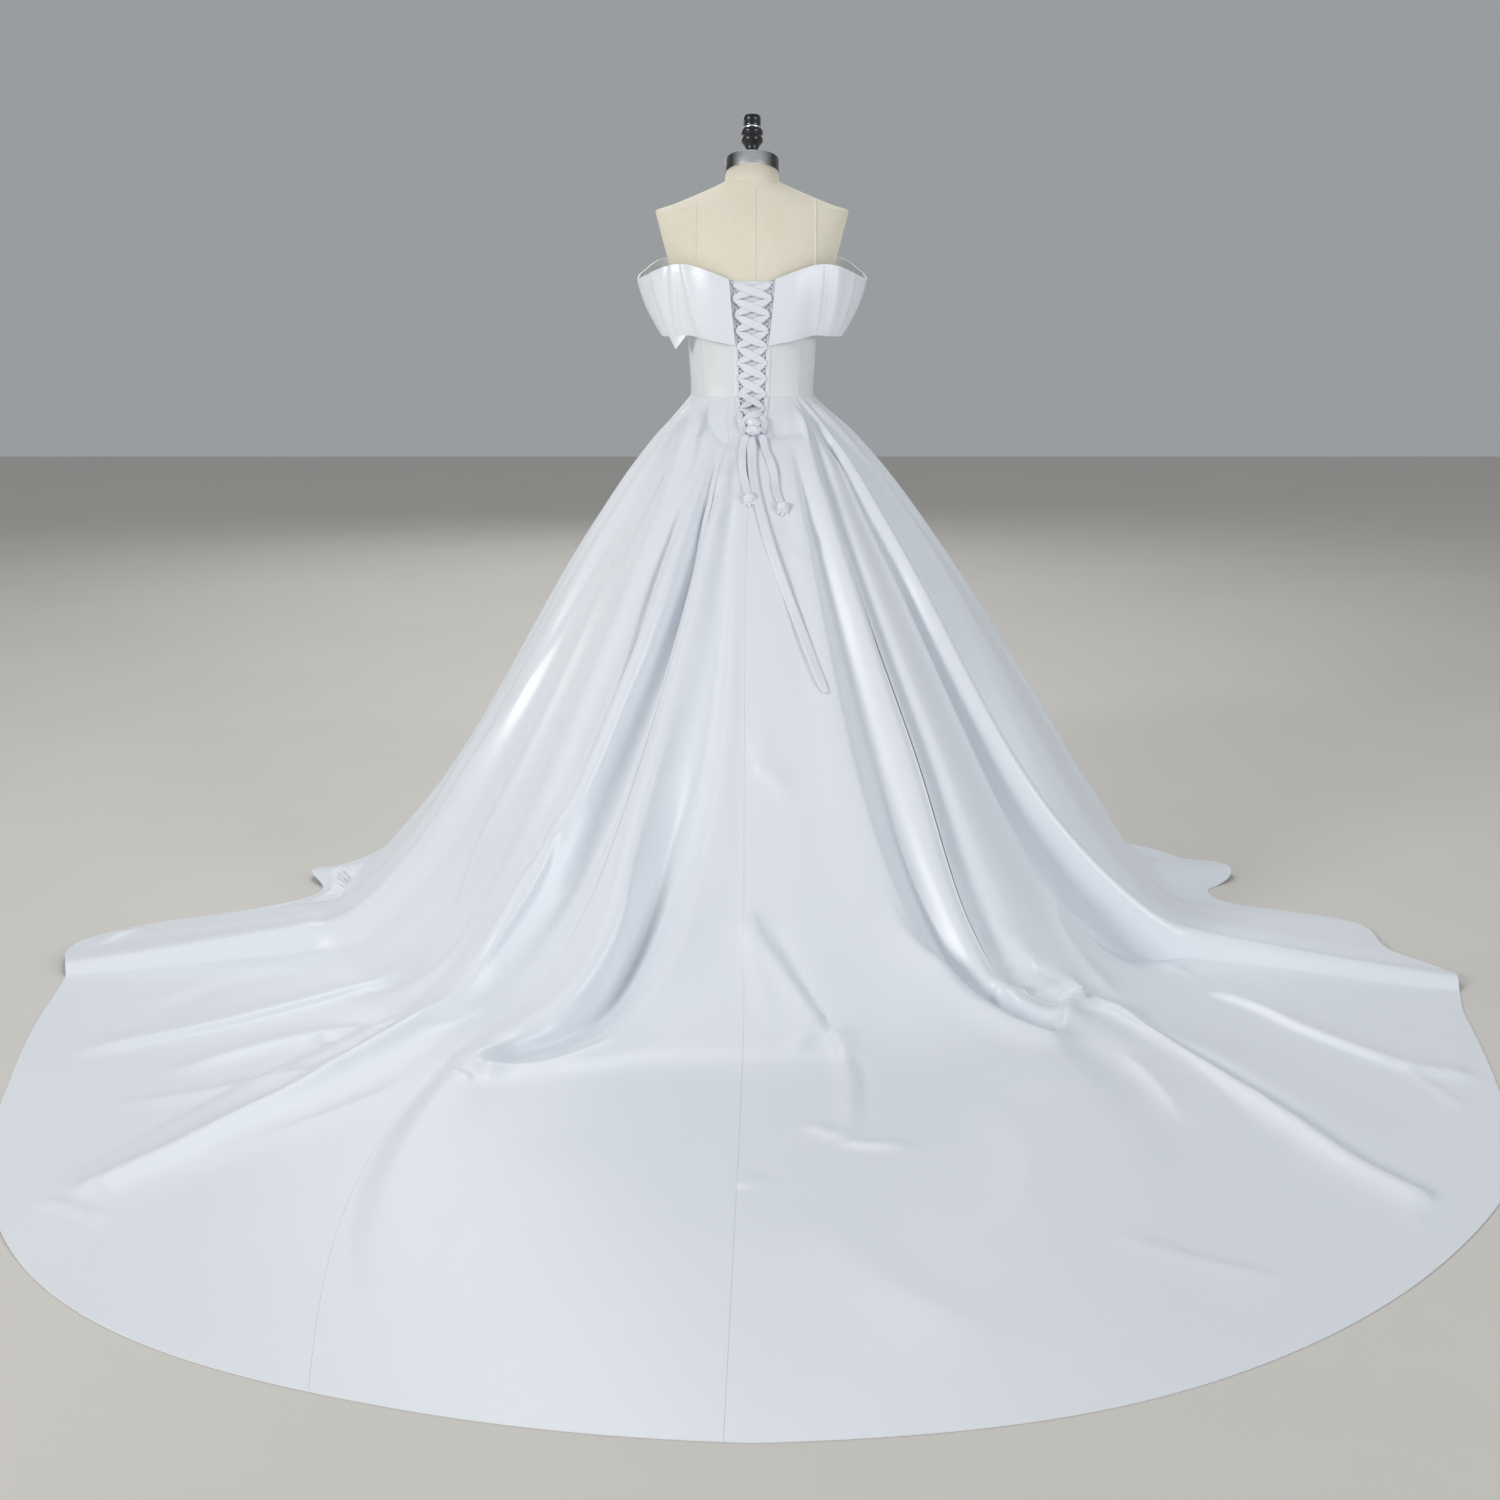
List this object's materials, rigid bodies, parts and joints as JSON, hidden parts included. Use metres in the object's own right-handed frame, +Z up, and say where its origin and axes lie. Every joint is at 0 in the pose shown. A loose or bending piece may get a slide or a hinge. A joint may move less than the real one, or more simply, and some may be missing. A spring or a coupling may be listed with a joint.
{
  "type": "wedding dress and dress form",
  "caption": "White satin wedding dress with an off-shoulder band, corset-laced back and long train, standing on a limbless dress form with a linen cover, knob, pole and round base.",
  "frame": {"origin": "on the floor, at the middle of the underside of the form's base, under the pole", "axes": "+Z up, the front faces -Y, the train runs towards +Y, the wearer's left is +X"},
  "size_m": [2.5687, 2.7514, 1.546],
  "materials": {
    "satin": "white satin",
    "bodice_satin": "white satin, dull side",
    "ribbon": "satin ribbon",
    "linen": "cream linen cover",
    "brushed_steel": "brushed",
    "black_plastic": "black, satin",
    "painted_iron": "black paint"
  },
  "bodies": {
    "root": {"band_back_left": "satin", "band_back_right": "satin", "band_front": "satin", "band_sleeve_left": "satin", "band_sleeve_right": "satin", "band_tip": "satin", "modesty_panel": "satin", "skirt_back_left": "satin", "skirt_back_right": "satin", "skirt_front": "satin", "skirt_side_back_left": "satin", "skirt_side_back_right": "satin", "skirt_side_front_left": "satin", "skirt_side_front_right": "satin", "bodice_back_left": "bodice_satin", "bodice_back_right": "bodice_satin", "bodice_front": "bodice_satin", "bodice_side_left": "bodice_satin", "bodice_side_right": "bodice_satin", "lace_knot": "ribbon", "lace_over": "ribbon", "lace_under": "ribbon", "lace_tail_left": "ribbon", "lace_tail_left_knot": "ribbon", "lace_tail_long": "ribbon", "lace_tail_right": "ribbon", "lace_tail_right_knot": "ribbon", "loop_tape_left": "ribbon", "loop_tape_right": "ribbon", "form_torso": "linen", "form_neck_plate": "brushed_steel", "form_knob_ring": "brushed_steel", "form_pole": "brushed_steel", "form_knob": "black_plastic", "form_base": "painted_iron"}
  },
  "joints": []
}
